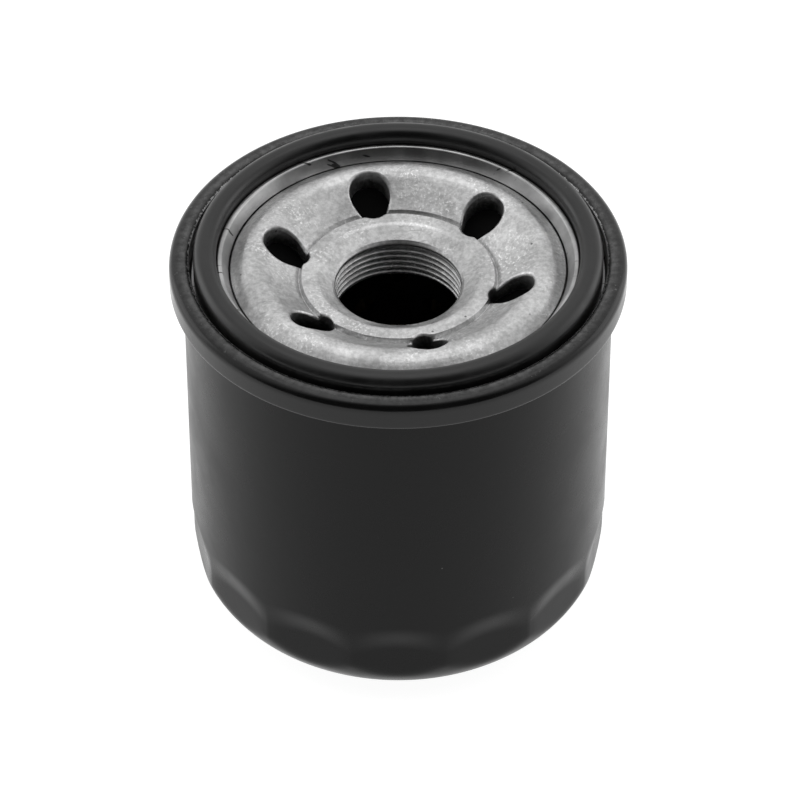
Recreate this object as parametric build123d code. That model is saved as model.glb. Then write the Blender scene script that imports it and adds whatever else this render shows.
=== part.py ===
from build123d import *
import os
from math import cos, hypot, pi, sin

# Spin-on oil filter for a small engine. It stands on the can's closed end, with the threaded plate up.
# Z is the can's axis and z = 0 is the underside of the closed end. All sizes are in millimetres.

# ---- can -------------------------------------------------------------------------------------------
can_height = 63.0            # closed end to the top of the seam
can_r = 32.0                 # outside of the can's wall
can_wall = 0.45
closed_end_round = 10.0      # outside radius round the closed end
flat_count = 14              # wrench flats
flat_depth = 0.8             # how far a flat's middle lies inside the can's wall
flat_height = 16.0           # flats' top above z = 0

# ---- seaming lid and double seam ---------------------------------------------------------------------
lid_wall = 0.55
seam_height = 4.3
seam_gap = 0.15              # between neighbouring layers of the seam
seam_top_round = 1.2
nest_gap = 0.05              # between the lid's wall and the can's
hook_overlap = 2.4
channel_depth = 3.4          # seam top to the gasket channel's floor
channel_bend = 0.3
lip_crest_drop = 0.4         # seam top down to the lip's crest
lip_foot_w = 1.8             # channel's inner wall to the lip's free edge
lip_foot_drop = 2.3          # seam top down to the lip's free edge

# ---- sealing gasket ----------------------------------------------------------------------------------
gasket_w = 3.4
gasket_inner_gap = 0.05
gasket_outer_gap = 0.55
gasket_stand = 1.8           # gasket's top above the seam top
gasket_outer_round = 1.55
gasket_inner_round = 1.25
gasket_foot_round = 0.5

# ---- base plate --------------------------------------------------------------------------------------
plate_t = 2.7
plate_lip_gap = 0.15
plate_rim_round = 0.4
plate_flange_gap = 0.1
rim_drop = 2.3               # seam top down to the plate's rim
crown_drop = 0.6             # seam top down to the crown's top
crown_round = 3.5
crown_inset = 3.4            # plate's rim in to the crown
valley_drop = 4.0            # seam top down to the foot of the crown
hub_r = 14.4
hub_step = 0.1               # hub's top above the foot of the crown
groove_depth = 0.35          # groove round the hub, below its top
groove_w = 0.55
countersink_r = 12.2
countersink_depth = 1.4
countersink_ledge = 0.45     # countersink's foot out from the thread's crests
thread_major_r = 10.0
thread_pitch = 1.0
thread_depth = 0.6
thread_turns = 5
thread_lead = 0.9            # countersink's foot down to the thread
neck_wall = 1.8              # outside of the thread's major radius
neck_end = 0.3               # plain bore below the thread

# ---- inlet holes -------------------------------------------------------------------------------------
inlet_count = 6
inlet_first_angle = 44.0     # degrees from +X towards +Y
inlet_outer_round = 3.0
inlet_inner_round = 1.9
inlet_bite = 0.4             # how far a hole reaches in past the hub's edge
inlet_length = 6.4

# ---- anti-drain valve --------------------------------------------------------------------------------
flap_t = 1.0
flap_gap = 0.05
flap_bore_gap = 0.4
flap_travel = 0.8
flap_overrun = 0.3           # room left below the open flap
flap_rim_inset = 1.6         # plate's rim in to the flap's edge

# ---- filter element ----------------------------------------------------------------------------------
cap_wall = 0.6
cap_bore_gap = 0.5           # round the neck
cap_rim_h = 2.0
adhesive_t = 0.35
layer_gap = 0.02
media_outer_gap = 4.5        # can's inside to the pleats
media_depth = 12.5
media_wall_radial = 3.0
pleat_count = 44
pleat_tube_gap = 0.6
clip_t = 0.4
clip_w = 3.0
clip_gap = 0.1
tube_wall = 0.5
tube_hole_r = 1.6
tube_hole_rows = 7
tube_holes_per_row = 8

# ---- relief valve ------------------------------------------------------------------------------------
port_r = 4.0
valve_seal_t = 0.8
valve_seal_r = 6.2
valve_disc_t = 0.7
valve_disc_r = 6.6
valve_seat_gap = 0.03
valve_lift = 2.0
housing_wall = 0.6
housing_gap = 0.4            # disc's edge to the housing's bore
housing_tube_gap = 0.6       # housing's foot to the centre tube
spring_wire = 0.9
spring_mean_r = 4.4
spring_h = 7.5
spring_turns = 4
retainer_t = 0.5
retainer_bore_r = 2.4
retainer_side_gap = 0.5
window_w = 3.0
window_count = 4

# ---- hold-down spring --------------------------------------------------------------------------------
hold_t = 0.8
hold_free_h = 8.0            # closed end's inside to the lower cap
hold_gap = 0.04
hold_hub_r = 7.5
hold_ring_r = 13.5
hold_leg_w = 8.0
hold_leg_run = 6.0           # how far a leg reaches out while it drops
hold_foot = 2.5
hold_leg_count = 4

# ---- places worked out from the sizes above ----------------------------------------------------------
seam_top = can_height
seam_foot = seam_top - seam_height
can_bore_r = can_r - can_wall
flat_apothem = can_r - flat_depth
chuck_outer_r = can_bore_r - nest_gap
chuck_r = chuck_outer_r - lid_wall
hook_in_r = can_r + seam_gap
can_hook_in_r = hook_in_r + lid_wall + seam_gap
can_hook_out_r = can_hook_in_r + can_wall
seam_r = can_hook_out_r + seam_gap + lid_wall
gasket_out_r = chuck_r - gasket_outer_gap
gasket_in_r = gasket_out_r - gasket_w
channel_in_r = gasket_in_r - gasket_inner_gap
channel_floor = seam_top - channel_depth
lip_crest = seam_top - lip_crest_drop
lip_crest_w = 2 * lid_wall - nest_gap
lip_foot_r = channel_in_r - lip_foot_w
plate_rim_r = lip_foot_r - plate_lip_gap
plate_flange_r = chuck_r - plate_flange_gap - 1.0
flange_top = channel_floor - lid_wall - plate_flange_gap
crown_r = plate_rim_r - crown_inset
valley_z = seam_top - valley_drop
hub_top = valley_z + hub_step
bore_r = thread_major_r - thread_depth
lead_foot = hub_top - countersink_depth
thread_top = lead_foot - thread_lead
thread_foot = thread_top - thread_turns * thread_pitch
neck_foot = thread_foot - neck_end
neck_r = thread_major_r + neck_wall
valley_under = valley_z - plate_t
crown_top = seam_top - crown_drop
crown_under = crown_top - plate_t
flap_in_r = neck_r + flap_bore_gap
flap_out_r = plate_rim_r - flap_rim_inset
upper_cap_top = valley_under - flap_gap - flap_t - flap_travel - flap_overrun
upper_cap_foot = upper_cap_top - cap_wall
lower_cap_foot = can_wall + hold_free_h
lower_cap_top = lower_cap_foot + cap_wall
media_out_r = can_bore_r - media_outer_gap
media_in_r = media_out_r - media_depth
tube_out_r = media_in_r - pleat_tube_gap
tube_in_r = tube_out_r - tube_wall
cap_bore_r = neck_r + cap_bore_gap
media_foot = lower_cap_top + adhesive_t + 2 * layer_gap
media_top = upper_cap_foot - adhesive_t - 2 * layer_gap
housing_in_r = valve_disc_r + housing_gap
seal_foot = lower_cap_top + valve_seat_gap
disc_foot = seal_foot + valve_seal_t
disc_top = disc_foot + valve_disc_t
spring_top = disc_top + layer_gap + spring_h
retainer_foot = spring_top + layer_gap
housing_top = retainer_foot + retainer_t + layer_gap + housing_wall
hold_top = lower_cap_foot - hold_gap


def ring(points, radii=0.0):
    """Turn a closed outline of (radius, height) points, with rounded corners, about Z."""
    outline = FilletPolyline(*points, radius=radii, close=True)
    return revolve(Plane.XZ * make_face(outline.edges()), Axis.Z)


def sheet(points, radii, thickness):
    """Outline of a bent sheet: the path given, and a copy of it one thickness to its right."""
    steps = [(b[0] - a[0], b[1] - a[1]) for a, b in zip(points, points[1:])]
    ways = [(x / hypot(x, y), y / hypot(x, y)) for x, y in steps]
    sides = [(y, -x) for x, y in ways]
    inner = [(points[0][0] + thickness * sides[0][0], points[0][1] + thickness * sides[0][1])]
    inner_radii = []
    for i, radius in enumerate(radii):
        (ax, ay), (bx, by) = sides[i], sides[i + 1]
        mitre = thickness / (1 + ax * bx + ay * by)
        inner.append((points[i + 1][0] + mitre * (ax + bx), points[i + 1][1] + mitre * (ay + by)))
        turns_left = ways[i][0] * ways[i + 1][1] - ways[i][1] * ways[i + 1][0] > 0
        inner_radii.append(radius + thickness if turns_left else max(radius - thickness, 0.0))
    inner.append((points[-1][0] + thickness * sides[-1][0], points[-1][1] + thickness * sides[-1][1]))
    return list(points) + inner[::-1], [0.0, *radii, 0.0, 0.0, *inner_radii[::-1], 0.0]


def disc_ring(inner_r, outer_r, foot, top, edge_round=0.0):
    """Flat ring between two heights."""
    return ring([(inner_r, foot), (outer_r, foot), (outer_r, top), (inner_r, top)], edge_round)


def around(piece, count, first=0.0):
    """Copies of a piece, evenly spaced about Z."""
    return [Rot(0, 0, first + k * 360 / count) * piece for k in range(count)]


def fluted_body(radius, apothem, foot, top, foot_round, flats_top):
    """Round bar with wrench flats round its lower end, one of them facing -Y, and a rounded foot."""
    bar = ring([(0, foot), (radius, foot), (radius, top), (0, top)], [0.0, foot_round, 0.0, 0.0])
    prism = extrude(RegularPolygon(apothem, flat_count, major_radius=False), flats_top - foot)
    blank = Cylinder(2 * radius, flats_top - foot, align=(Align.CENTER, Align.CENTER, Align.MIN))
    return bar - Pos(0, 0, foot) * (blank - Rot(0, 0, -90 - 180 / flat_count) * prism)


# ---- outer casing ------------------------------------------------------------------------------------
def make_can():
    """Drawn shell with wrench flats, flared out and hooked down inside the seam."""
    neck_z = seam_foot - 1.0
    shell = fluted_body(can_r, flat_apothem, 0, neck_z, closed_end_round, flat_height)
    shell -= fluted_body(can_bore_r, flat_apothem - can_wall, can_wall, neck_z + 1,
                         closed_end_round - can_wall, flat_height + can_wall)
    hook_top = seam_top - lid_wall - seam_gap
    path = [(can_bore_r, neck_z), (can_bore_r, hook_top), (can_hook_out_r, hook_top),
            (can_hook_out_r, hook_top - hook_overlap)]
    outline, radii = sheet(path, [can_wall + 0.2, can_wall + 0.2], can_wall)
    return shell + ring(outline, radii)


def make_seaming_lid():
    """Lip round the plate, gasket channel and the outer layers of the double seam, as one sheet."""
    path = [(lip_foot_r, seam_top - lip_foot_drop),
            (channel_in_r - lip_crest_w, lip_crest),
            (channel_in_r, lip_crest),
            (channel_in_r, channel_floor),
            (chuck_r, channel_floor),
            (chuck_r, seam_top),
            (seam_r, seam_top),
            (seam_r, seam_foot),
            (hook_in_r, seam_foot),
            (hook_in_r, seam_foot + hook_overlap)]
    bend = lid_wall + 0.05
    outline, radii = sheet(path, [bend, bend, channel_bend, channel_bend, 0.5, seam_top_round, bend + 0.1, bend], lid_wall)
    return ring(outline, radii)


def make_seam_sealant():
    """Compound in the pocket between the can's hook and the lid's top."""
    pocket_top = seam_top - lid_wall - nest_gap
    pocket_foot = seam_top - lid_wall - seam_gap + 0.02
    return disc_ring(can_r, can_hook_out_r - 0.4, pocket_foot, pocket_top)


def make_sealing_gasket():
    """Moulded rubber ring with domed shoulders, seated in the lid's channel."""
    foot = channel_floor + gasket_inner_gap
    top = seam_top + gasket_stand
    outline = [(gasket_in_r, foot), (gasket_out_r, foot), (gasket_out_r, top), (gasket_in_r, top)]
    return ring(outline, [gasket_foot_round, gasket_foot_round, gasket_outer_round, gasket_inner_round])


# ---- base plate --------------------------------------------------------------------------------------
def inlet_outline():
    """Teardrop from the hub's edge outwards, lying along +X."""
    outer = Pos(hub_r + inlet_length - inlet_outer_round, 0) * Circle(inlet_outer_round)
    inner = Pos(hub_r - inlet_bite + inlet_inner_round, 0) * Circle(inlet_inner_round)
    return make_hull(outer.edges() + inner.edges())


def make_base_plate():
    """Pressed plate: crowned outside, dished at the hub, with a threaded neck and inlet holes."""
    apex = crown_top + 0.75
    grooves = []
    for k in range(thread_turns):
        crest = thread_top - k * thread_pitch
        grooves += [(bore_r, crest - 0.1 * thread_pitch), (thread_major_r, crest - 0.45 * thread_pitch),
                    (thread_major_r, crest - 0.55 * thread_pitch), (bore_r, crest - 0.9 * thread_pitch)]
    shoulder_r = plate_rim_r - 1.6
    top = [(bore_r, lead_foot - countersink_ledge), (bore_r + countersink_ledge, lead_foot),
           (countersink_r, hub_top), (hub_r, hub_top), (hub_r + 0.4 * groove_w, hub_top - groove_depth),
           (hub_r + groove_w, valley_z), (crown_r, apex), (plate_rim_r, seam_top - rim_drop),
           (plate_rim_r, flange_top), (plate_flange_r, flange_top)]
    under = [(plate_flange_r, flange_top - plate_t), (plate_rim_r, flange_top - plate_t),
             (shoulder_r, crown_under - 1.7), (crown_r, crown_under), (hub_r + 0.6, valley_under),
             (neck_r, valley_under), (neck_r, neck_foot), (bore_r, neck_foot)]
    radii = [0.1, 0.25, 1.5, 0.12, 0.08, 0.2, crown_round, plate_rim_round, 0.0, 0.2]
    radii += [0.2, 0.3, 0.6, 0.8, 0.8, 0.3, 0.3, 0.2]
    outline = top + under + grooves[::-1]
    plate = ring(outline, radii + [0.0] * len(grooves))
    cutter = Pos(0, 0, valley_under - 1) * extrude(inlet_outline(), crown_top - valley_under + 2)
    return plate - around(cutter, inlet_count, inlet_first_angle)


def make_anti_drain_valve():
    """Rubber flap shaped to the plate's underside."""
    shoulder_r = plate_rim_r - 1.6
    slope = 1.7 / (shoulder_r - crown_r)
    edge_z = crown_under - slope * (flap_out_r - crown_r)
    top = [(flap_in_r, valley_under), (hub_r + 0.6, valley_under), (crown_r, crown_under), (flap_out_r, edge_z)]
    raised = [(r, z - flap_gap) for r, z in top]
    lowered = [(r, z - flap_gap - flap_t) for r, z in top]
    return ring(raised + lowered[::-1], [0.0, 0.9, 1.4, 0.0, 0.0, 0.4, 0.9, 0.0])


# ---- filter element ----------------------------------------------------------------------------------
def make_upper_end_cap():
    """Pressed cap with its rim turned down round the pleats."""
    path = [(cap_bore_r, upper_cap_top), (media_out_r + 1.2, upper_cap_top),
            (media_out_r + 1.2, upper_cap_top - cap_rim_h)]
    outline, radii = sheet(path, [cap_wall + 0.3], cap_wall)
    return ring(outline, radii)


def make_lower_end_cap():
    """Pressed cap with its rim turned up round the pleats and a port in its middle."""
    path = [(media_out_r + 1.2, lower_cap_foot + cap_rim_h), (media_out_r + 1.2, lower_cap_foot),
            (port_r, lower_cap_foot)]
    outline, radii = sheet(path, [cap_wall + 0.3], cap_wall)
    return ring(outline, radii)


def make_adhesive(foot):
    """Glue layer between a cap and the pleats."""
    return disc_ring(media_in_r, media_out_r, foot, foot + adhesive_t)


def make_pleated_media():
    """Filter paper folded into radial pleats."""
    def star(outer_r, inner_r):
        corners = []
        for k in range(pleat_count):
            for radius, part in ((outer_r, 0.0), (inner_r, 0.5)):
                angle = 2 * pi * (k + part) / pleat_count
                corners.append((radius * cos(angle), radius * sin(angle)))
        return make_face(Polyline(*corners, close=True).edges())

    paper = star(media_out_r, media_in_r + media_wall_radial)
    paper -= star(media_out_r - media_wall_radial, media_in_r)
    return Pos(0, 0, media_foot) * extrude(paper, media_top - media_foot)


def make_media_seam_clip():
    """Folded strip over the paper's two ends."""
    height = media_top - media_foot - 2 * cap_rim_h
    strip = Box(clip_t, clip_w, height, align=(Align.MIN, Align.CENTER, Align.MIN))
    return Pos(media_out_r + clip_gap, 0, media_foot + cap_rim_h) * strip


def make_centre_tube():
    """Perforated steel core."""
    foot = lower_cap_top + layer_gap
    top = upper_cap_foot - layer_gap
    tube = disc_ring(tube_in_r, tube_out_r, foot, top)
    drill = Rot(0, 90, 0) * Cylinder(tube_hole_r, 2 * tube_out_r, align=(Align.CENTER, Align.CENTER, Align.MIN))
    pitch = (top - foot) / (tube_hole_rows + 1)
    for row in range(tube_hole_rows):
        first = (row % 2) * 180 / tube_holes_per_row
        tube -= around(Pos(0, 0, foot + (row + 1) * pitch) * drill, tube_holes_per_row, first)
    return tube


# ---- relief valve ------------------------------------------------------------------------------------
def make_relief_valve_housing():
    """Cage with a flange on the lower cap, side windows and a ported top."""
    foot = lower_cap_top + layer_gap
    path = [(retainer_bore_r, housing_top), (housing_in_r + housing_wall, housing_top),
            (housing_in_r + housing_wall, foot + housing_wall),
            (tube_in_r - housing_tube_gap, foot + housing_wall)]
    outline, radii = sheet(path, [housing_wall + 0.3, 0.3], housing_wall)
    cage = ring(outline, radii)
    window = Box(2 * housing_in_r, window_w, spring_h * 0.6, align=(Align.MIN, Align.CENTER, Align.MIN))
    return cage - around(Pos(0, 0, disc_top + valve_lift) * window, window_count, 45)


def make_relief_spring():
    """Compression spring of round wire, standing on the valve disc."""
    foot = disc_top + layer_gap + spring_wire / 2
    height = spring_h - spring_wire
    coil = Helix(height / spring_turns, height, spring_mean_r)
    section = Plane(coil @ 0, z_dir=coil % 0) * Circle(spring_wire / 2)
    return Pos(0, 0, foot) * sweep(section, path=coil, is_frenet=True)


def make_hold_down_spring():
    """Stamped leaf spring: a flat ring with legs that bend down to the closed end."""
    drop = hold_top - can_wall - hold_gap
    path = [(hold_ring_r - 2, hold_top), (hold_ring_r, hold_top),
            (hold_ring_r + hold_leg_run, hold_top - drop + hold_t),
            (hold_ring_r + hold_leg_run + hold_foot, hold_top - drop + hold_t)]
    outline, radii = sheet(path, [hold_t + 0.4, 1.2], hold_t)
    side = make_face(FilletPolyline(*outline, radius=radii, close=True).edges())
    leg = Pos(0, hold_leg_w / 2, 0) * extrude(Plane.XZ * side, hold_leg_w)
    plate = disc_ring(hold_hub_r, hold_ring_r, hold_top - hold_t, hold_top)
    for copy in around(leg, hold_leg_count, 45):
        plate += copy
    return plate


parts = {
    "can": make_can(),
    "seaming_lid": make_seaming_lid(),
    "seam_sealant": make_seam_sealant(),
    "sealing_gasket": make_sealing_gasket(),
    "base_plate": make_base_plate(),
    "anti_drain_valve": make_anti_drain_valve(),
    "upper_end_cap": make_upper_end_cap(),
    "upper_adhesive": make_adhesive(media_top + layer_gap),
    "pleated_media": make_pleated_media(),
    "media_seam_clip": make_media_seam_clip(),
    "centre_tube": make_centre_tube(),
    "lower_adhesive": make_adhesive(lower_cap_top + layer_gap),
    "lower_end_cap": make_lower_end_cap(),
    "relief_valve_housing": make_relief_valve_housing(),
    "relief_valve_disc": disc_ring(0, valve_disc_r, disc_foot, disc_top),
    "relief_valve_seal": disc_ring(0, valve_seal_r, seal_foot, disc_foot),
    "relief_spring": make_relief_spring(),
    "relief_spring_retainer": disc_ring(retainer_bore_r, housing_in_r - retainer_side_gap,
                                        retainer_foot, retainer_foot + retainer_t),
    "hold_down_spring": make_hold_down_spring(),
}

os.makedirs("parts", exist_ok=True)
for name, piece in parts.items():
    export_step(piece, f"parts/{name}.step")
    print(f"{name}: {len(piece.solids())} solid(s), {piece.volume:.1f} mm3")
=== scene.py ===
"""Spin-on oil filter: finished surfaces, materials, studio and camera round the fixed CAD frame."""

import logging
import math
from dataclasses import dataclass, field
from enum import Enum

import bmesh
import bpy
import numpy as np
from mathutils import Matrix, Vector

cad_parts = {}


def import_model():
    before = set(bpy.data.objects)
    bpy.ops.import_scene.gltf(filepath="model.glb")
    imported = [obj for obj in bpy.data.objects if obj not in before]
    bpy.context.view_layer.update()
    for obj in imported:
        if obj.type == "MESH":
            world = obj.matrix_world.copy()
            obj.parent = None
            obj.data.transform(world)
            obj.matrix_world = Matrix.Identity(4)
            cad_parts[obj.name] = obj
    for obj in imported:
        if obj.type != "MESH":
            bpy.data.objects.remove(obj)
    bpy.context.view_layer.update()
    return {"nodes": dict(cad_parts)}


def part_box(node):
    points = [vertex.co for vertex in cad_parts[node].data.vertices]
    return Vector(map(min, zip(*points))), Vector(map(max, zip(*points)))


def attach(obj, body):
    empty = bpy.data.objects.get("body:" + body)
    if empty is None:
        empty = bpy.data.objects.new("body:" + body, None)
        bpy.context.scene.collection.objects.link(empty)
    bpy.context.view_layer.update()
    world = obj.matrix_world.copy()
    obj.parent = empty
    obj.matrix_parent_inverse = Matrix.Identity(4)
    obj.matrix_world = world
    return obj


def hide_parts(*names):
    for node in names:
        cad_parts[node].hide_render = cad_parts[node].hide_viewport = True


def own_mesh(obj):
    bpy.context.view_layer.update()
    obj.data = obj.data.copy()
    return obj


MM = 0.001
LOG = logging.getLogger("oil_filter")
Point = tuple[float, float]


# ---------------------------------------------------------------------------------------------------
# Surface tools
# ---------------------------------------------------------------------------------------------------
def rounded_path(points: list[Point], radii: list[float], arc_steps: int = 8, closed: bool = False) -> np.ndarray:
    """A polyline whose corners are replaced by tangent arcs.

    At a corner the arc's centre lies on the bisector, radius / cos(half the turn) from it, and the
    arc is swept in equal steps between the two tangent points.

    Args:
        points: the corners, in millimetres.
        radii: one radius per corner (the two ends of an open path are left out).
        arc_steps: how many spans each arc gets.
        closed: whether the last corner joins the first.

    Returns:
        The path's points as an (n, 2) array.
    """
    corners = np.asarray(points, float)
    count = len(corners)
    pieces = [] if closed else [corners[:1]]
    for step, radius in enumerate(radii):
        i = step if closed else step + 1
        before, here, after = corners[i - 1], corners[i], corners[(i + 1) % count]
        way_in = (here - before) / np.linalg.norm(here - before)
        way_out = (after - here) / np.linalg.norm(after - here)
        turn = math.acos(float(np.clip(way_in @ way_out, -1, 1)))
        if radius <= 0 or turn < 1e-4:
            pieces.append(here[None])
            continue
        cut = radius * math.tan(turn / 2)
        side = math.copysign(1.0, way_in[0] * way_out[1] - way_in[1] * way_out[0])
        centre = here - way_in * cut + side * radius * np.array([-way_in[1], way_in[0]])
        angles = np.linspace(0, turn, arc_steps + 1) * side
        spoke = -side * radius * np.array([-way_in[1], way_in[0]])
        cosines, sines = np.cos(angles), np.sin(angles)
        pieces.append(centre + np.stack([spoke[0] * cosines - spoke[1] * sines,
                                         spoke[0] * sines + spoke[1] * cosines], 1))
    if not closed:
        pieces.append(corners[-1:])
    return np.concatenate(pieces)


def refine(path: np.ndarray, longest: float, closed: bool = False) -> np.ndarray:
    """Adds evenly spaced points so that no span of a path is longer than the given length.

    Args:
        path: (n, 2) points.
        longest: longest span allowed, in the path's units.
        closed: whether the last point joins the first.

    Returns:
        The finer path.
    """
    ends = np.roll(path, -1, 0) if closed else path[1:]
    starts = path if closed else path[:-1]
    counts = np.maximum(1, np.ceil(np.linalg.norm(ends - starts, axis=1) / longest)).astype(int)
    which = np.repeat(np.arange(len(starts)), counts)
    part = np.concatenate([np.arange(n) / n for n in counts])[:, None]
    fine = starts[which] * (1 - part) + ends[which] * part
    return fine if closed else np.concatenate([fine, path[-1:]])


def grid_object(name: str, places: np.ndarray, close_rows: bool) -> bpy.types.Object:
    """Makes a smooth mesh object from a grid of places, closed round its columns.

    Face k joins rows i and i + 1 and columns j and j + 1, with the column index taken round.

    Args:
        name: the piece's name.
        places: (rows, columns, 3) array in metres.
        close_rows: whether the last row joins the first.

    Returns:
        The new object, at the origin.
    """
    rows, columns = places.shape[:2]
    row = np.arange(rows if close_rows else rows - 1)[:, None]
    column = np.arange(columns)[None]
    next_row, next_column = (row + 1) % rows, (column + 1) % columns
    corners = np.stack([row * columns + column, row * columns + next_column,
                        next_row * columns + next_column, next_row * columns + column], -1)
    mesh = bpy.data.meshes.new(name)
    mesh.from_pydata(places.reshape(-1, 3), [], corners.reshape(-1, 4).tolist())
    tidy = bmesh.new()
    tidy.from_mesh(mesh)
    bmesh.ops.remove_doubles(tidy, verts=tidy.verts, dist=1e-7)
    bmesh.ops.dissolve_degenerate(tidy, edges=tidy.edges, dist=1e-8)
    bmesh.ops.recalc_face_normals(tidy, faces=tidy.faces)
    tidy.to_mesh(mesh)
    tidy.free()
    mesh.polygons.foreach_set("use_smooth", np.ones(len(mesh.polygons), bool))
    piece = bpy.data.objects.new(name, mesh)
    bpy.context.scene.collection.objects.link(piece)
    return piece


def turned_object(name: str, outline: np.ndarray, segments: int) -> bpy.types.Object:
    """Turns a closed outline of (radius, height) points about Z: x = r cos a, y = r sin a, z = h.

    Args:
        name: the piece's name.
        outline: (n, 2) closed outline, in millimetres.
        segments: how many steps round the axis.

    Returns:
        The new object.
    """
    angle = np.linspace(0, 2 * np.pi, segments, endpoint=False)[None]
    radius, height = outline[:, :1], outline[:, 1:]
    places = np.stack([radius * np.cos(angle), radius * np.sin(angle), height + 0 * angle], -1)
    return grid_object(name, places * MM, close_rows=True)


def smooth_step(value: np.ndarray, low: np.ndarray | float, high: np.ndarray | float) -> np.ndarray:
    """Smooth rise from 0 at low to 1 at high: 3t^2 - 2t^3 of the clamped fraction t."""
    part = np.clip((value - low) / (high - low), 0, 1)
    return part * part * (3 - 2 * part)


def soft_minimum(one: np.ndarray, other: np.ndarray, soft: float) -> np.ndarray:
    """The smaller of two values, with the corner between them rounded over about `soft`."""
    least = np.minimum(one, other)
    return least - soft * np.log1p(np.exp(-np.abs(one - other) / soft)) * np.exp(-np.abs(one - other) / (4 * soft))


# ---------------------------------------------------------------------------------------------------
# Finishes
# ---------------------------------------------------------------------------------------------------
class NodeSheet:
    """A material's node tree, with one short method for each kind of node used here."""

    def __init__(self, name: str) -> None:
        """Starts a material with a Principled shader and Object coordinates."""
        self.material = bpy.data.materials.new(name)
        self.material.use_nodes = True
        self.tree = self.material.node_tree
        self.shader = self.tree.nodes["Principled BSDF"]
        self.place = self.tree.nodes.new("ShaderNodeTexCoord").outputs["Object"]

    def join(self, source: object, socket: bpy.types.NodeSocket) -> None:
        """Links an output to a socket, or writes a plain number or colour on it."""
        if isinstance(source, bpy.types.NodeSocket):
            self.tree.links.new(source, socket)
        else:
            socket.default_value = source

    def stretched(self, scale: tuple[float, float, float], turn: float = 0.0) -> bpy.types.NodeSocket:
        """Object coordinates, turned about Z and stretched."""
        node = self.tree.nodes.new("ShaderNodeMapping")
        node.inputs["Rotation"].default_value = (0, 0, turn)
        node.inputs["Scale"].default_value = scale
        self.tree.links.new(self.place, node.inputs["Vector"])
        return node.outputs["Vector"]

    def noise(self, scale: float, detail: float = 3.0, rough: float = 0.5,
              at: bpy.types.NodeSocket | None = None) -> bpy.types.NodeSocket:
        """Fractal noise, from 0 to 1."""
        node = self.tree.nodes.new("ShaderNodeTexNoise")
        node.inputs["Scale"].default_value = scale
        node.inputs["Detail"].default_value = detail
        node.inputs["Roughness"].default_value = rough
        self.tree.links.new(at or self.place, node.inputs["Vector"])
        return node.outputs["Fac"]

    def cells(self, scale: float) -> bpy.types.NodeSocket:
        """Distance to the nearest scattered point."""
        node = self.tree.nodes.new("ShaderNodeTexVoronoi")
        node.inputs["Scale"].default_value = scale
        self.tree.links.new(self.place, node.inputs["Vector"])
        return node.outputs["Distance"]

    def band(self, value: bpy.types.NodeSocket, low: float, high: float,
             start: float = 0.0, end: float = 1.0) -> bpy.types.NodeSocket:
        """Smoothly maps a value's range low to high onto start to end."""
        node = self.tree.nodes.new("ShaderNodeMapRange")
        node.interpolation_type = "SMOOTHSTEP"
        for name, number in (("From Min", low), ("From Max", high), ("To Min", start), ("To Max", end)):
            node.inputs[name].default_value = number
        self.tree.links.new(value, node.inputs["Value"])
        return node.outputs["Result"]

    def sum(self, operation: str, first: object, second: object) -> bpy.types.NodeSocket:
        """Result of a Math node."""
        node = self.tree.nodes.new("ShaderNodeMath")
        node.operation = operation
        self.join(first, node.inputs[0])
        self.join(second, node.inputs[1])
        return node.outputs[0]

    def blend(self, part: bpy.types.NodeSocket, first: object, second: object) -> bpy.types.NodeSocket:
        """Colour mix: first where part is 0, second where it is 1."""
        node = self.tree.nodes.new("ShaderNodeMix")
        node.data_type = "RGBA"
        self.tree.links.new(part, node.inputs["Factor"])
        for source, socket in ((first, node.inputs[6]), (second, node.inputs[7])):
            self.join((source, source, source, 1.0) if isinstance(source, float) else source, socket)
        return node.outputs[2]

    def split(self) -> tuple[bpy.types.NodeSocket, bpy.types.NodeSocket]:
        """Distance from the Z axis and height, in metres."""
        node = self.tree.nodes.new("ShaderNodeSeparateXYZ")
        self.tree.links.new(self.place, node.inputs[0])
        squares = self.sum("ADD", self.sum("MULTIPLY", node.outputs[0], node.outputs[0]),
                           self.sum("MULTIPLY", node.outputs[1], node.outputs[1]))
        return self.sum("POWER", squares, 0.5), node.outputs[2]

    def bump(self, height: bpy.types.NodeSocket, depth: float, strength: float) -> None:
        """Gives the shader a bump of the given depth in metres, over any earlier one."""
        node = self.tree.nodes.new("ShaderNodeBump")
        node.inputs["Distance"].default_value = depth
        node.inputs["Strength"].default_value = strength
        self.tree.links.new(height, node.inputs["Height"])
        earlier = self.shader.inputs["Normal"]
        if earlier.is_linked:
            self.tree.links.new(earlier.links[0].from_socket, node.inputs["Normal"])
        self.tree.links.new(node.outputs["Normal"], earlier)

    def finish(self, colour: object, metal: object, rough: object, gloss: float = 0.5) -> bpy.types.Material:
        """Connects the shader's main sockets and returns the material."""
        if isinstance(colour, float):
            colour = (colour, colour, colour, 1.0)
        self.join(colour, self.shader.inputs["Base Color"])
        self.join(metal, self.shader.inputs["Metallic"])
        self.join(rough, self.shader.inputs["Roughness"])
        self.shader.inputs["Specular IOR Level"].default_value = gloss
        return self.material


@dataclass(frozen=True)
class CanPaint:
    """Baked black enamel: faint orange peel, handling haze and a few dust specks."""

    grey: float = 0.0045
    rough: float = 0.26
    gloss: float = 0.15
    speck_spacing: float = 330.0

    def build(self) -> bpy.types.Material:
        """Makes the material."""
        sheet = NodeSheet("can_paint")
        dust = sheet.band(sheet.cells(self.speck_spacing), 0.045, 0.02)
        patches = sheet.band(sheet.noise(55.0), 0.52, 0.62)
        specks = sheet.sum("MULTIPLY", dust, patches)
        haze = sheet.band(sheet.noise(70.0, 4.0, 0.6), 0.3, 0.75, self.rough - 0.03, self.rough + 0.09)
        sheet.bump(sheet.noise(700.0, 2.0), 0.00002, 0.35)
        return sheet.finish(sheet.blend(specks, self.grey, 0.12), 0.0, haze, self.gloss)


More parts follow.
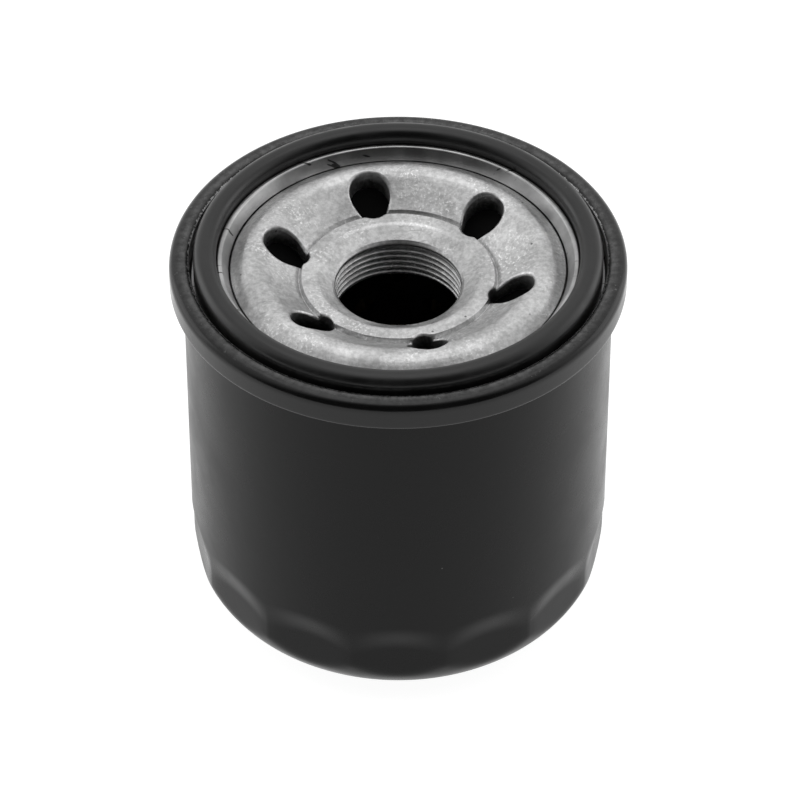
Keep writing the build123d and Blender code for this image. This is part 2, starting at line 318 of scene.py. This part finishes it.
@dataclass(frozen=True)
class LidFinish:
    """The lid's steel: black enamel outside its paint line, bare metal inside it, worn at its edges; the seam's top
    is lighter, partly from wear and partly as painted light, and its lower edge carries a painted highlight.
    """

    seam_top: float
    seam_foot: float
    paint_line: float = 31.2
    grey: float = 0.005
    scuff_and_top_light: float = 0.13
    steel: float = 0.5
    rough_paint: float = 0.2
    worn_from: float = 31.8
    worn_to: float = 33.1

    def build(self) -> bpy.types.Material:
        """Makes the material."""
        sheet = NodeSheet("lid_finish")
        radius, height = sheet.split()
        ragged = sheet.sum("MULTIPLY", sheet.sum("SUBTRACT", sheet.noise(1500.0, 4.0, 0.7), 0.5), 0.0012)
        edge = self.paint_line * MM
        painted = sheet.band(sheet.sum("ADD", radius, ragged), edge - 0.00010, edge + 0.00010)
        stain = sheet.blend(sheet.band(sheet.noise(160.0, 5.0, 0.6), 0.3, 0.75), self.steel * 0.6, self.steel)
        lines = sheet.noise(330.0, 2.0, 0.6, sheet.stretched((0.22, 4.0, 1.0), math.radians(52)))
        metal_colour = sheet.blend(sheet.band(lines, 0.66, 0.69), stain, 0.05)
        # The seam's top is painted lighter, most towards its inner edge: partly real scuffing of the paint, partly
        # painted light where the top faces the lamps above.
        top = sheet.band(height, (self.seam_top - 0.25) * MM, (self.seam_top - 0.05) * MM)
        inner = sheet.band(radius, self.worn_to * MM, self.worn_from * MM, 0.2, 1.0)
        rubbed_and_lit = sheet.sum("MULTIPLY", top, sheet.band(sheet.noise(900.0, 5.0, 0.7), 0.3, 0.72, 0.25, 1.0))
        rubbed_and_lit = sheet.sum("MULTIPLY", rubbed_and_lit, inner)
        flecks = sheet.sum("MULTIPLY", top, sheet.band(sheet.noise(1300.0, 3.0, 0.6), 0.64, 0.72))
        # Painted highlight: the paint on the seam's rounded lower edge is lightened to stand for the bright line that
        # light draws along it.
        lip = sheet.band(height, (self.seam_foot + 0.42) * MM, (self.seam_foot + 0.2) * MM)
        paint = sheet.blend(rubbed_and_lit, self.grey, self.scuff_and_top_light)
        paint = sheet.blend(flecks, paint, 0.14)
        paint = sheet.blend(sheet.sum("MULTIPLY", lip, 0.8), paint, 0.05)
        metal = sheet.sum("SUBTRACT", 1.0, painted)
        rough = sheet.sum("ADD", sheet.band(painted, 0, 1, 0.34, self.rough_paint),
                          sheet.band(sheet.noise(240.0, 4.0), 0.3, 0.8, -0.04, 0.08))
        sheet.bump(sheet.noise(900.0, 3.0), 0.00003, 0.4)
        return sheet.finish(sheet.blend(painted, metal_colour, paint), metal, rough, 0.3)


@dataclass(frozen=True)
class PlateSteel:
    """Zinc-washed pressed steel: cloudy mottling, bright flecks, stains and drag marks."""

    light: float = 0.66
    dark: float = 0.36
    fleck: float = 0.85
    rough: float = 0.42

    def build(self) -> bpy.types.Material:
        """Makes the material."""
        sheet = NodeSheet("plate_steel")
        clouds = sheet.band(sheet.noise(160.0, 6.0, 0.65), 0.34, 0.66)
        grain = sheet.band(sheet.noise(1300.0, 4.0, 0.7), 0.34, 0.66)
        mix = sheet.sum("ADD", sheet.sum("MULTIPLY", clouds, 0.45), sheet.sum("MULTIPLY", grain, 0.55))
        base = sheet.blend(mix, self.dark, self.light)
        flecks = sheet.sum("MULTIPLY", sheet.band(sheet.noise(2200.0, 3.0, 0.6), 0.5, 0.7),
                           sheet.band(sheet.noise(150.0, 3.0), 0.4, 0.65))
        base = sheet.blend(flecks, base, self.fleck)
        pits = sheet.sum("MULTIPLY", sheet.band(sheet.cells(420.0), 0.10, 0.05),
                         sheet.band(sheet.noise(130.0), 0.52, 0.6))
        base = sheet.blend(pits, base, 0.14)
        drag = sheet.noise(420.0, 3.0, 0.6, sheet.stretched((0.2, 2.2, 1.0), math.radians(-25)))
        base = sheet.blend(sheet.band(drag, 0.66, 0.72, 0.0, 0.4), base, 0.2)
        rough = sheet.band(sheet.noise(180.0, 5.0, 0.6), 0.25, 0.8, self.rough - 0.1, self.rough + 0.14)
        sheet.bump(sheet.noise(1100.0, 4.0, 0.65), 0.00005, 0.6)
        sheet.bump(sheet.noise(300.0, 3.0), 0.00008, 0.5)
        return sheet.finish(base, 1.0, rough, 0.5)


@dataclass(frozen=True)
class MouldedRubber:
    """Smooth black nitrile rubber with a bloom that dulls it in patches."""

    name: str = "gasket_rubber"
    grey: float = 0.006
    rough: float = 0.36
    gloss: float = 0.45

    def build(self) -> bpy.types.Material:
        """Makes the material."""
        sheet = NodeSheet(self.name)
        bloom = sheet.band(sheet.noise(120.0, 5.0, 0.6), 0.35, 0.75)
        dust = sheet.band(sheet.cells(500.0), 0.06, 0.03)
        flecks = sheet.sum("MULTIPLY", dust, sheet.band(sheet.noise(90.0), 0.5, 0.6))
        colour = sheet.blend(flecks, sheet.blend(bloom, self.grey, self.grey * 2.2), 0.08)
        sheet.bump(sheet.noise(1400.0, 3.0), 0.00002, 0.4)
        return sheet.finish(colour, 0.0, sheet.band(bloom, 0, 1, self.rough - 0.05, self.rough + 0.1), self.gloss)


@dataclass(frozen=True)
class PlainFinish:
    """A simple mottled finish for the pieces inside the can."""

    name: str
    colour: tuple[float, float, float]
    metal: float
    rough: float
    grain: float = 500.0
    gloss: float = 0.5

    def build(self) -> bpy.types.Material:
        """Makes the material."""
        sheet = NodeSheet(self.name)
        dark = (*(0.7 * c for c in self.colour), 1.0)
        clouds = sheet.band(sheet.noise(self.grain * 0.4, 4.0), 0.3, 0.7)
        sheet.bump(sheet.noise(self.grain * 2, 3.0), 0.00003, 0.5)
        rough = sheet.band(clouds, 0, 1, self.rough - 0.06, self.rough + 0.08)
        return sheet.finish(sheet.blend(clouds, dark, (*self.colour, 1.0)), self.metal, rough, self.gloss)


class Inner(Enum):
    """Finishes of the pieces inside the can."""

    # Painted shade: this steel is far darker than bare steel so that the parts deep inside the can read black through
    # the inlet holes.
    SHADE_DARKENED_CAP_STEEL = PlainFinish("cap_steel", (0.10, 0.10, 0.10), 1.0, 0.45)
    SPRING_STEEL = PlainFinish("spring_steel", (0.38, 0.38, 0.40), 1.0, 0.34)
    FLAP_RUBBER = PlainFinish("flap_rubber", (0.002, 0.002, 0.002), 0.0, 0.8, gloss=0.08)
    PAPER = PlainFinish("filter_paper", (0.62, 0.50, 0.30), 0.0, 0.85, 900.0)
    GLUE = PlainFinish("end_glue", (0.42, 0.33, 0.18), 0.0, 0.5)
    SEALANT = PlainFinish("seam_sealant", (0.25, 0.24, 0.20), 0.0, 0.7)


# ---------------------------------------------------------------------------------------------------
# Pieces
# ---------------------------------------------------------------------------------------------------
def millimetres(node: str) -> tuple[np.ndarray, np.ndarray]:
    """Lowest and highest corners of a CAD node, in millimetres."""
    low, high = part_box(node)
    return np.array(low) / MM, np.array(high) / MM


def place(piece: bpy.types.Object, node: str, material: bpy.types.Material,
          body: str = "filter_body") -> None:
    """Dresses a finished piece, and lets it stand for a CAD node on its body."""
    piece.data.materials.clear()
    piece.data.materials.append(material)
    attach(piece, body)
    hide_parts(node)
    LOG.info("%s: %d faces for %s", piece.name, len(piece.data.polygons), node)


@dataclass
class CanShell:
    """Drawn can with soft wrench flats and a rounded closed end."""

    wall: float = 0.45
    wall_r: float = 32.0
    flat_count: int = 14
    flat_apothem: float = 31.2
    flat_top: float = 16.0
    flat_blend: float = 5.0
    flat_scallop: float = 1.6
    flat_lead: float = 0.8
    flat_margin: float = 4.0
    corner_trim: float = 0.1
    corner_soft: float = 0.2
    foot_soft: float = 0.12
    end_round: float = 10.0
    end_release: float = 0.8
    end_release_from: float = 0.7
    lap: float = 1.6
    segments: int = 14 * 32

    def ring_radius(self, angle: np.ndarray, height: np.ndarray) -> np.ndarray:
        """Radius of the outside at an angle and height.

        The end follows a quarter circle. A flat's radius is apothem / cos(angle from its middle), and
        a soft minimum of the two lets the flats melt into the rounded end. The quarter circle is
        released outward near its top, so that the soft minimum leaves no line where the two meet.
        Above the flats the wall comes back to the full radius over a smooth step that starts highest
        in the middle of each flat.
        """
        pitch = 2 * np.pi / self.flat_count
        off = (angle + np.pi / 2 + pitch / 2) % pitch - pitch / 2
        corner = self.flat_apothem / math.cos(pitch / 2) - self.corner_trim
        flat = soft_minimum(self.flat_apothem / np.cos(off), corner, self.corner_soft)
        start = self.flat_top - self.flat_blend + self.flat_scallop * (1 - (2 * off / pitch) ** 2) - self.flat_lead
        flat = flat + (self.wall_r - flat) * smooth_step(height, start, start + self.flat_blend)
        below = np.clip(self.end_round - height, 0, self.end_round)
        curl = self.wall_r - self.end_round + np.sqrt(self.end_round ** 2 - below ** 2)
        curl = curl + self.end_release * smooth_step(height, self.end_release_from * self.end_round, self.end_round)
        rounded = soft_minimum(flat, curl, self.foot_soft)
        return np.where(height < self.flat_top + self.flat_margin, rounded, self.wall_r)

    def build(self) -> bpy.types.Object:
        """Builds the closed shell: outside from the end's middle up, over the top and down inside."""
        lid_low, _ = millimetres("seaming_lid")
        top = lid_low[2] + self.lap
        angle = np.linspace(0, 2 * np.pi, self.segments, endpoint=False)[None]
        curl = self.end_round * (1 - np.cos(np.linspace(0, np.pi / 2, 30)))
        flats_end = self.flat_top + self.flat_margin
        heights = np.concatenate([curl, np.linspace(self.end_round, flats_end, 40)[1:],
                                  np.linspace(flats_end, top, 20)[1:]])[:, None] + 0 * angle
        outside = self.ring_radius(angle, heights)
        middle = np.linspace(0, 1, 14)[:-1, None] * outside[:1]
        radii = np.concatenate([middle, outside, (outside - self.wall)[::-1], middle[::-1]])
        levels = np.concatenate([0 * middle, heights, np.maximum(heights[::-1], self.wall), 0 * middle + self.wall])
        places = np.stack([radii * np.cos(angle), radii * np.sin(angle), levels], -1) * MM
        return grid_object("can_shell", places, close_rows=False)


@dataclass
class LidRing:
    """Seaming lid: lip, gasket channel and the rolled outer seam, as one closed section."""

    wall: float = 0.55
    channel_in_r: float = 26.95
    chuck_r: float = 30.95
    lip_foot_r: float = 25.15
    lip_foot_drop: float = 2.3
    lip_crest_drop: float = 0.4
    channel_depth: float = 3.4
    shoulder_round: float = 1.35
    hook_depth: float = 2.2
    segments: int = 384

    def build(self) -> bpy.types.Object:
        """Turns the section round the axis, from the lip's foot over the seam to its lower edge."""
        low, high = millimetres("seaming_lid")
        foot, top, seam_r = low[2], high[2], high[0]
        crest, floor = top - self.lip_crest_drop, top - self.channel_depth
        wall_r, lip_in_r = self.chuck_r + self.wall, self.channel_in_r - self.wall
        hook_r = seam_r - 1.5
        outline = [(self.lip_foot_r, top - self.lip_foot_drop), (self.channel_in_r - 0.75, crest),
                   (self.channel_in_r, crest), (self.channel_in_r, floor), (self.chuck_r, floor),
                   (self.chuck_r, top - 0.45), (self.chuck_r + 0.8, top), (seam_r, top), (seam_r, foot),
                   (hook_r, foot), (hook_r, foot + self.hook_depth), (wall_r, foot + self.hook_depth),
                   (wall_r, floor - self.wall), (lip_in_r, floor - self.wall), (lip_in_r, crest - 0.8),
                   (self.lip_foot_r + 0.5, top - self.lip_foot_drop - 0.25)]
        radii = [0.1, 0.42, 0.3, 0.3, 0.3, 0.3, 0.6, self.shoulder_round, 0.42, 0.3, 0.2, 0.2, 0.3, 0.3, 0.05, 0.1]
        section = refine(rounded_path(outline, radii, 8, closed=True), 0.35, closed=True)
        return turned_object("seam_and_lip", section, self.segments)


@dataclass
class GasketRing:
    """Moulded sealing ring with domed shoulders."""

    width: float = 3.4
    foot_round: float = 0.5
    outer_round: float = 1.6
    inner_round: float = 1.4
    segments: int = 384

    def build(self) -> bpy.types.Object:
        """Turns the ring's domed section round the axis."""
        low, high = millimetres("sealing_gasket")
        outer, foot, top = high[0], low[2], high[2]
        inner = outer - self.width
        outline = [(inner, foot), (outer, foot), (outer, top), (inner, top)]
        radii = [self.foot_round, self.foot_round, self.outer_round, self.inner_round]
        section = rounded_path(outline, radii, 14, closed=True)
        return turned_object("gasket_ring", refine(section, 0.3, closed=True), self.segments)


@dataclass
class PressedPlate:
    """Base plate: turned section with a helical thread in its neck and six punched inlet holes."""

    thickness: float = 2.7
    rim_r: float = 25.0
    rim_drop: float = 2.3
    flange_r: float = 29.8
    flange_drop: float = 4.05
    crown_r: float = 21.6
    crown_drop: float = 0.6
    valley_drop: float = 4.0
    hub_r: float = 14.4
    hub_drop: float = 3.9
    groove_depth: float = 0.8
    groove_w: float = 1.0
    countersink_r: float = 12.2
    countersink_depth: float = 1.4
    countersink_ledge: float = 0.45
    bore_r: float = 9.4
    thread_r: float = 10.0
    thread_pitch: float = 1.0
    thread_lead: float = 0.9
    neck_r: float = 11.8
    hole_count: int = 6
    hole_first: float = 44.0
    hole_outer: tuple[float, float] = (17.8, 3.0)
    hole_inner: tuple[float, float] = (15.9, 1.9)
    hole_edge: float = 0.5
    segments: int = 360

    def upper_path(self, top: float) -> np.ndarray:
        """The plate's upper surface, from the countersink's foot out to its rim."""
        hub, apex = top - self.hub_drop, top - self.crown_drop + 0.75
        sink = hub - self.countersink_depth
        corners = [(self.bore_r, sink - self.countersink_ledge),
                   (self.bore_r + self.countersink_ledge, sink), (self.countersink_r, hub),
                   (self.hub_r, hub), (self.hub_r + 0.4 * self.groove_w, hub - self.groove_depth),
                   (self.hub_r + self.groove_w, top - self.valley_drop), (self.crown_r, apex),
                   (self.rim_r, top - self.rim_drop), (self.rim_r, top - self.flange_drop)]
        return rounded_path(corners, [0.25, 1.6, 0.13, 0.08, 0.25, 3.5, 0.4], 7)

    def section(self, top: float, foot: float) -> tuple[np.ndarray, int]:
        """The whole closed section and the number of its points that lie on the threaded bore."""
        upper = refine(self.upper_path(top), 0.3)
        crown = top - self.crown_drop - self.thickness
        valley = top - self.valley_drop - self.thickness
        flange = top - self.flange_drop
        under = rounded_path([(self.flange_r, flange), (self.flange_r, flange - self.thickness),
                              (self.rim_r, flange - self.thickness), (self.rim_r - 1.6, crown - 1.7),
                              (self.crown_r, crown), (self.hub_r + 0.6, valley),
                              (self.neck_r, valley), (self.neck_r, foot), (self.bore_r, foot)],
                             [0.2, 0.3, 0.6, 0.8, 0.8, 0.3, 0.3], 5)
        levels = np.arange(foot, upper[0, 1], 0.07)[1:]
        bore = np.stack([np.full(len(levels), self.bore_r), levels], 1)
        return np.concatenate([refine(under, 0.8), bore, upper]), len(levels)

    def build(self) -> bpy.types.Object:
        """Turns the section, cuts the thread as a helix and punches the holes.

        The thread's radius is bore + depth * ridge(height / pitch - angle / turn), where the ridge
        is a triangle wave with its tips flattened, faded out at both ends of the thread. Height grows
        with the angle, so the thread is right-handed.
        """
        low, _ = millimetres("base_plate")
        _, lid_high = millimetres("seaming_lid")
        top, foot = lid_high[2], low[2]
        outline, bore_points = self.section(top, foot)
        angle = np.linspace(0, 2 * np.pi, self.segments, endpoint=False)[None]
        radius = outline[:, :1] + 0 * angle
        height = outline[:, 1:] + 0 * angle
        start = len(outline) - bore_points - len(refine(self.upper_path(top), 0.3))
        rows = slice(start, start + bore_points)
        phase = (height[rows] / self.thread_pitch - angle / (2 * np.pi)) % 1
        ridge = np.clip(1.5 * np.abs(2 * phase - 1) - 0.25, 0, 1)
        upper_end = top - self.hub_drop - self.countersink_depth - self.thread_lead
        run_in = smooth_step(height[rows], foot + 0.1, foot + 0.6)
        run_out = 1 - smooth_step(height[rows], upper_end - 0.3, upper_end + 0.3)
        radius[rows] += (self.thread_r - self.bore_r) * ridge * (run_in * run_out)
        places = np.stack([radius * np.cos(angle), radius * np.sin(angle), height], -1) * MM
        plate = grid_object("pressed_plate", places, close_rows=True)
        for k in range(self.hole_count):
            self.punch(plate, self.cutter(top, math.radians(self.hole_first + 60 * k)))
        return plate

    def cutter(self, top: float, turn: float) -> bpy.types.Object:
        """A punch with the hole's outline that flares along the plate's surface to round its edge.

        The outline is the hull of two circles. Each of its points moves out along the outline's
        normal by o and down from the surface by d, with (o, d) on a quarter circle that is cut short
        so that it meets the surface at an angle.
        """
        (outer_at, outer_round), (inner_at, inner_round) = self.hole_outer, self.hole_inner
        lean = math.acos((inner_round - outer_round) / (outer_at - inner_at))
        front = np.linspace(-lean, lean, 40)
        back = np.linspace(lean, 2 * math.pi - lean, 26)
        ways = np.concatenate([front, back])
        ways_xy = np.stack([np.cos(ways), np.sin(ways)], 1)
        centres = np.concatenate([np.full(len(front), outer_at), np.full(len(back), inner_at)])
        sizes = np.concatenate([np.full(len(front), outer_round), np.full(len(back), inner_round)])
        rim = ways_xy * sizes[:, None] + np.stack([centres, 0 * centres], 1)
        sweep = np.radians(np.linspace(0, 68, 7))
        outs = np.concatenate([[0, 0], self.hole_edge * (1 - np.cos(sweep)),
                               [self.hole_edge * 1.0, self.hole_edge * 1.6]])
        downs = np.concatenate([[9.0, 1.2], self.hole_edge * (1 - np.sin(sweep)), [-0.09, -0.5]])
        surface = self.upper_path(top)
        grid = rim[None] + ways_xy[None] * outs[:, None, None]
        distance = np.hypot(grid[..., 0], grid[..., 1])
        order = np.argsort(surface[:, 0])
        level = np.interp(distance, surface[order, 0], surface[order, 1]) - downs[:, None]
        level[0] = top - 12
        cosine, sine = math.cos(turn), math.sin(turn)
        places = np.stack([grid[..., 0] * cosine - grid[..., 1] * sine,
                           grid[..., 0] * sine + grid[..., 1] * cosine, level], -1)
        middle = places.mean(1, keepdims=True)
        places = np.concatenate([np.repeat(middle[:1], places.shape[1], 1), places,
                                 np.repeat(middle[-1:], places.shape[1], 1)])
        return grid_object("punch", places * MM, close_rows=False)

    def punch(self, plate: bpy.types.Object, tool: bpy.types.Object) -> None:
        """Subtracts one punch from the plate and removes the punch."""
        cut = plate.modifiers.new("hole", "BOOLEAN")
        cut.operation, cut.object, cut.solver = "DIFFERENCE", tool, "EXACT"
        bpy.context.view_layer.update()
        finished = bpy.data.meshes.new_from_object(plate.evaluated_get(bpy.context.evaluated_depsgraph_get()))
        plate.modifiers.clear()
        old, plate.data = plate.data, finished
        bpy.data.meshes.remove(old)
        bpy.data.meshes.remove(tool.data)


@dataclass
class ReliefSpring:
    """The relief valve's coil spring."""

    joint: str = "relief_valve_lift"
    lift: float = 2.0

    def build(self, node: bpy.types.Object) -> bpy.types.Object:
        """Makes a piece of its own with the coil's shape."""
        mesh = node.data.copy()
        mesh.transform(node.matrix_world)
        coil = bpy.data.objects.new("coil_spring", mesh)
        bpy.context.scene.collection.objects.link(coil)
        return coil

    def shorten(self, coil: bpy.types.Object) -> None:
        """Gives the coil a mesh of its own; its length does not follow the joint."""
        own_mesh(coil)


@dataclass
class InnerPieces:
    """CAD nodes that keep their shape and get their finish here."""

    finishes: dict[str, Inner] = field(default_factory=lambda: {
        "seam_sealant": Inner.SEALANT, "anti_drain_valve": Inner.FLAP_RUBBER,
        "upper_end_cap": Inner.SHADE_DARKENED_CAP_STEEL, "upper_adhesive": Inner.GLUE, "pleated_media": Inner.PAPER,
        "media_seam_clip": Inner.SHADE_DARKENED_CAP_STEEL, "centre_tube": Inner.SHADE_DARKENED_CAP_STEEL, "lower_adhesive": Inner.GLUE,
        "lower_end_cap": Inner.SHADE_DARKENED_CAP_STEEL, "relief_valve_housing": Inner.SHADE_DARKENED_CAP_STEEL,
        "relief_valve_disc": Inner.SHADE_DARKENED_CAP_STEEL, "relief_valve_seal": Inner.FLAP_RUBBER,
        "relief_spring_retainer": Inner.SHADE_DARKENED_CAP_STEEL,
        "hold_down_spring": Inner.SPRING_STEEL})

    def dress(self, nodes: dict[str, bpy.types.Object]) -> None:
        """Gives each node its material, made once per finish."""
        made = {finish: finish.value.build() for finish in Inner}
        for name, finish in self.finishes.items():
            slots = nodes[name].data.materials
            slots.clear()
            slots.append(made[finish])
            LOG.info("%s: %s", name, finish.name)


# ---------------------------------------------------------------------------------------------------
# Studio
# ---------------------------------------------------------------------------------------------------
@dataclass
class Studio:
    """White sweep, broad soft light from above and behind, and a long-lens camera."""

    elevation: float = 41.7
    sensor_w: float = 36.0
    lens: float = 202.5
    distance: float = 2000 / 3
    aim_side: float = 0.2667
    aim_drop: float = 21.526

    def build(self) -> None:
        """Builds the floor, world, lights and camera."""
        self.floor()
        self.world()
        self.light("top_light", (0.0, 0.12, 0.55), 0.4, 0.35)
        self.light("left_light", (-0.6, 0.25, 0.25), 0.4, 0.5)
        self.light("right_light", (0.6, 0.25, 0.25), 0.4, 0.5)
        self.camera()

    def floor(self) -> None:
        """Pale floor under the object."""
        mesh = bpy.data.meshes.new("floor")
        half = 3.0
        mesh.from_pydata([(-half, -half, 0), (half, -half, 0), (half, half, 0), (-half, half, 0)], [], [(0, 1, 2, 3)])
        floor = bpy.data.objects.new("floor", mesh)
        bpy.context.scene.collection.objects.link(floor)
        sheet = NodeSheet("floor_paint")
        sheet.shader.inputs["Emission Color"].default_value = (1, 1, 1, 1)
        sheet.shader.inputs["Emission Strength"].default_value = 0.95
        mesh.materials.append(sheet.finish(0.3, 0.0, 0.9, 0.1))

    def world(self) -> None:
        """Even white surroundings that fall off to grey on the camera's side."""
        world = bpy.data.worlds.new("studio")
        world.use_nodes = True
        tree = world.node_tree
        ramp = tree.nodes.new("ShaderNodeMapRange")
        split = tree.nodes.new("ShaderNodeSeparateXYZ")
        way = tree.nodes.new("ShaderNodeTexCoord")
        tree.links.new(way.outputs["Generated"], split.inputs[0])
        tree.links.new(split.outputs["Y"], ramp.inputs["Value"])
        ramp.interpolation_type = "SMOOTHSTEP"
        for name, number in (("From Min", -0.52), ("From Max", -0.05), ("To Min", 0.03), ("To Max", 0.9)):
            ramp.inputs[name].default_value = number
        tree.links.new(ramp.outputs["Result"], tree.nodes["Background"].inputs["Strength"])
        tree.nodes["Background"].inputs["Color"].default_value = (1, 1, 1, 1)
        bpy.context.scene.world = world

    def light(self, name: str, at: tuple[float, float, float], size: float, power: float) -> None:
        """Square area light that faces the object."""
        lamp = bpy.data.lights.new(name, "AREA")
        lamp.size = size
        lamp.energy = power
        piece = bpy.data.objects.new(name, lamp)
        bpy.context.scene.collection.objects.link(piece)
        aim = Vector((0, 0, 0.04)) - Vector(at)
        piece.matrix_world = Matrix.Translation(at) @ aim.to_track_quat("-Z", "Y").to_matrix().to_4x4()

    def camera(self) -> None:
        """Long lens that looks a little below and beside the seam's centre.

        The lengths are millimetres: the distance is along the view, from the seam's centre, and the
        aim's side and drop are across it.
        """
        data = bpy.data.cameras.new("camera")
        data.sensor_width = self.sensor_w
        data.lens = self.lens
        data.clip_end = 10
        tilt = math.radians(self.elevation)
        forward = Vector((0, math.cos(tilt), -math.sin(tilt)))
        up = Vector((0, math.sin(tilt), math.cos(tilt)))
        side = Vector((1, 0, 0))
        seam_top = Vector((0, 0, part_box("seaming_lid")[1].z / MM))
        eye = seam_top - forward * self.distance - up * self.aim_drop + side * self.aim_side
        camera = bpy.data.objects.new("camera", data)
        bpy.context.scene.collection.objects.link(camera)
        camera.matrix_world = Matrix.Translation(eye * MM) @ forward.to_track_quat("-Z", "Y").to_matrix().to_4x4()
        bpy.context.scene.camera = camera


def main() -> None:
    """Builds the finished filter and its studio, and reports each piece."""
    logging.basicConfig(level=logging.INFO, format="%(name)s: %(message)s")
    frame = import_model()
    bpy.context.scene.view_settings.view_transform = "Standard"
    place(CanShell().build(), "can", CanPaint().build())
    lid_low, lid_high = millimetres("seaming_lid")
    place(LidRing().build(), "seaming_lid", LidFinish(lid_high[2], lid_low[2]).build())
    place(GasketRing().build(), "sealing_gasket", MouldedRubber().build())
    place(PressedPlate().build(), "base_plate", PlateSteel().build())
    spring = ReliefSpring()
    coil = spring.build(frame["nodes"]["relief_spring"])
    place(coil, "relief_spring", Inner.SPRING_STEEL.value.build())
    spring.shorten(coil)
    InnerPieces().dress(frame["nodes"])
    Studio().build()


if __name__ == "__main__":
    main()
